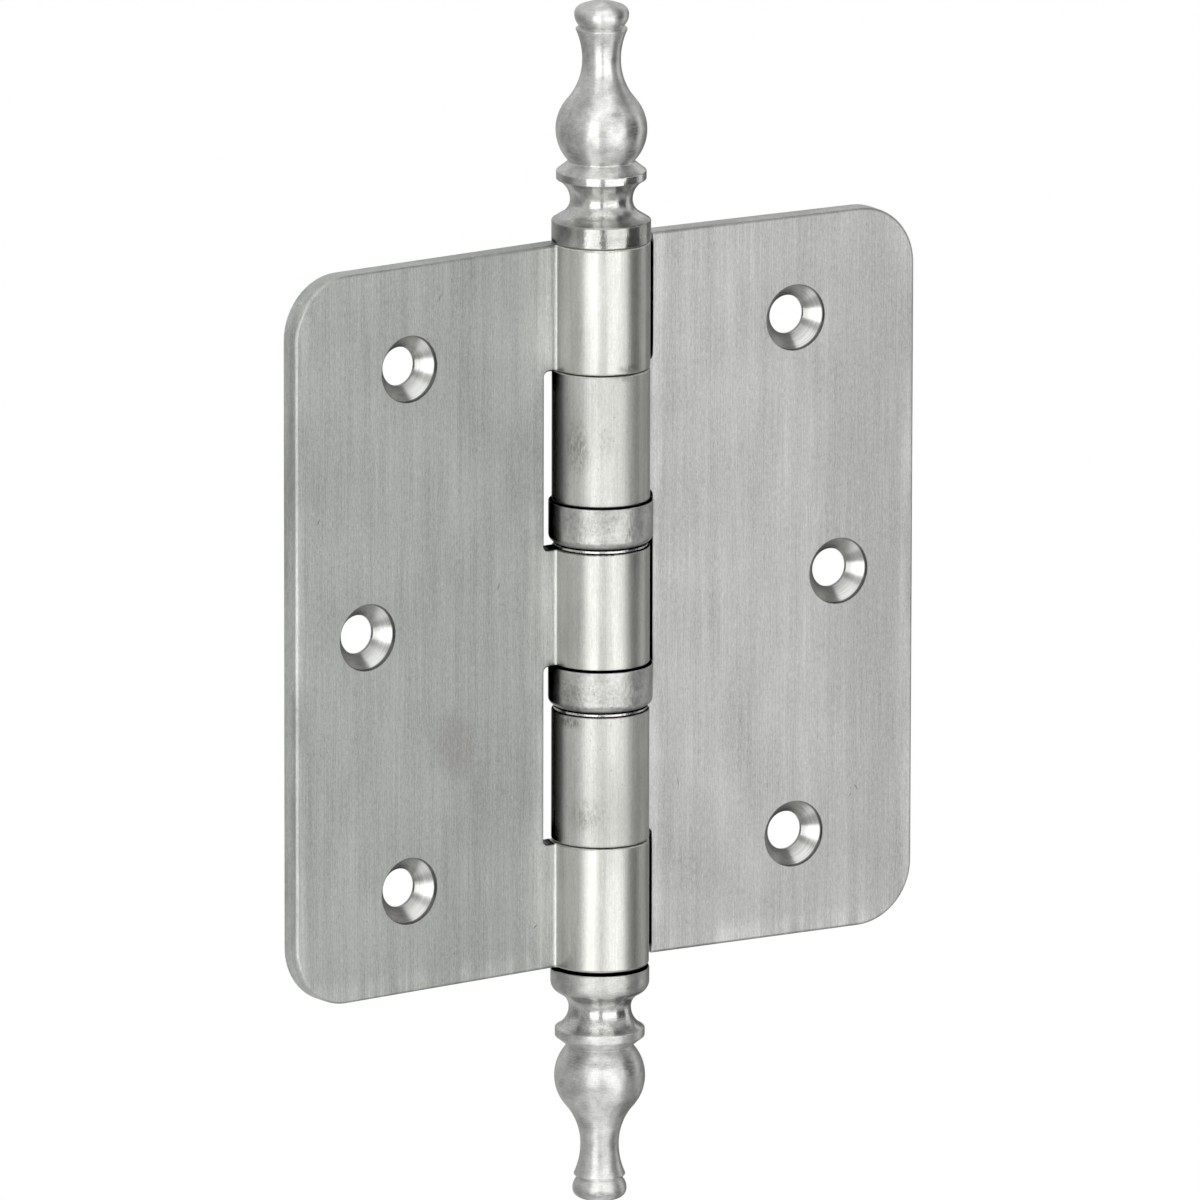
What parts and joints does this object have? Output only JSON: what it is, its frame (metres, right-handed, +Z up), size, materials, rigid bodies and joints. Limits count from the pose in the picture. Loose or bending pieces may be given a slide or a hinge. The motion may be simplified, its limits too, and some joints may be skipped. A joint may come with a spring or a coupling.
{
  "type": "ball bearing butt hinge",
  "caption": "Butt hinge with round-cornered countersunk leaves rolled round a pin, exposed ball thrust bearings between knuckles and turned urn finials on the ends of the pin.",
  "frame": {"origin": "on the pin axis at the middle of the leaves' height", "axes": "+Z up along the pin, the frame leaf towards -X, the door leaf towards +X, screw heads on the -Y side"},
  "size_m": [0.1011, 0.0144, 0.1688],
  "materials": {
    "leaf_steel": "satin, brushed along the pin",
    "finial_steel": "turned and lightly polished",
    "pin_steel": "ground",
    "shell_steel": "drawn and tumbled",
    "race_steel": "turned, ground on the ball track",
    "ball_steel": "polished"
  },
  "bodies": {
    "frame_side": {"frame_leaf": "leaf_steel", "hinge_pin": "pin_steel", "top_finial": "finial_steel", "bottom_finial": "finial_steel", "upper_bearing_bottom_race": "race_steel", "lower_bearing_shell": "shell_steel", "lower_bearing_top_race": "race_steel"},
    "door_side": {"door_leaf": "leaf_steel", "upper_bearing_shell": "shell_steel", "upper_bearing_top_race": "race_steel", "lower_bearing_bottom_race": "race_steel"},
    "upper_ball_ring": {"upper_bearing_ball_01": "ball_steel", "upper_bearing_ball_02": "ball_steel", "upper_bearing_ball_03": "ball_steel", "upper_bearing_ball_04": "ball_steel", "upper_bearing_ball_05": "ball_steel", "upper_bearing_ball_06": "ball_steel", "upper_bearing_ball_07": "ball_steel", "upper_bearing_ball_08": "ball_steel", "upper_bearing_ball_09": "ball_steel", "upper_bearing_ball_10": "ball_steel", "upper_bearing_ball_11": "ball_steel", "upper_bearing_ball_12": "ball_steel"},
    "lower_ball_ring": {"lower_bearing_ball_01": "ball_steel", "lower_bearing_ball_02": "ball_steel", "lower_bearing_ball_03": "ball_steel", "lower_bearing_ball_04": "ball_steel", "lower_bearing_ball_05": "ball_steel", "lower_bearing_ball_06": "ball_steel", "lower_bearing_ball_07": "ball_steel", "lower_bearing_ball_08": "ball_steel", "lower_bearing_ball_09": "ball_steel", "lower_bearing_ball_10": "ball_steel", "lower_bearing_ball_11": "ball_steel", "lower_bearing_ball_12": "ball_steel"}
  },
  "joints": [
    {"name": "leaf_swing", "type": "hinge", "parent": "frame_side", "child": "door_side", "pos_m": [0, 0, 0], "axis": [0, 0, 1], "range_deg": [-173.6, 96.4]},
    {"name": "upper_ball_roll", "type": "hinge", "parent": "frame_side", "child": "upper_ball_ring", "pos_m": [0, 0, 0], "axis": [0, 0, 1], "range_deg": [-87, 48.5]},
    {"name": "lower_ball_roll", "type": "hinge", "parent": "frame_side", "child": "lower_ball_ring", "pos_m": [0, 0, 0], "axis": [0, 0, 1], "range_deg": [-87, 48.5]}
  ],
  "couplings": [
    {"joint": "upper_ball_roll", "follows": "leaf_swing", "ratio": 0.5},
    {"joint": "lower_ball_roll", "follows": "leaf_swing", "ratio": 0.5}
  ]
}
